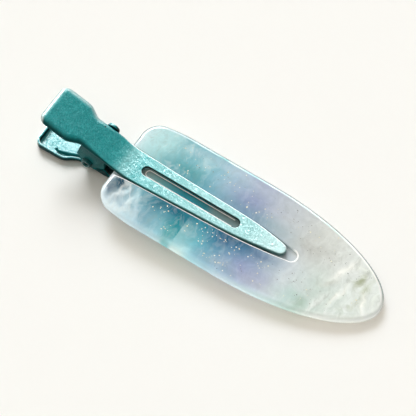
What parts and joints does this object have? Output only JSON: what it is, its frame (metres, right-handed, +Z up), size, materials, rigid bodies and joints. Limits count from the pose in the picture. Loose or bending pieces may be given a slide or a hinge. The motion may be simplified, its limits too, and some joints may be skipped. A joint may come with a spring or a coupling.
{
  "type": "duckbill hair clip",
  "caption": "Duckbill hair clip: a sprung painted-metal clip with a slotted prong over a flat tongue-shaped plate of pearly acetate",
  "frame": {"origin": "on the surface that the clip rests on, under the middle of its outline", "axes": "+X along the clip from the finger levers to the nose, +Y across it, +Z up from the surface it rests on"},
  "size_m": [0.0789, 0.0234, 0.0123],
  "materials": {
    "acetate": "polished translucent pearly acetate with metallic flecks",
    "lower_paint": "sparkling teal metallic paint",
    "upper_paint": "sparkling teal metallic paint",
    "pin_paint": "teal metallic paint",
    "spring_paint": "teal metallic paint"
  },
  "bodies": {
    "lower": {"lower_jaw": "lower_paint", "acetate_plate": "acetate", "pivot_pin": "pin_paint", "torsion_spring": "spring_paint"},
    "upper": {"upper_jaw": "upper_paint"}
  },
  "joints": [
    {"name": "jaw_hinge", "type": "hinge", "parent": "lower", "child": "upper", "pos_m": [-0.02691, 0, 0.00271], "axis": [0, -1, 0], "range_deg": [0, 46], "stiffness_Nm_per_rad": 0.037, "springref_deg": -63.03, "deforming": ["torsion_spring"]}
  ]
}
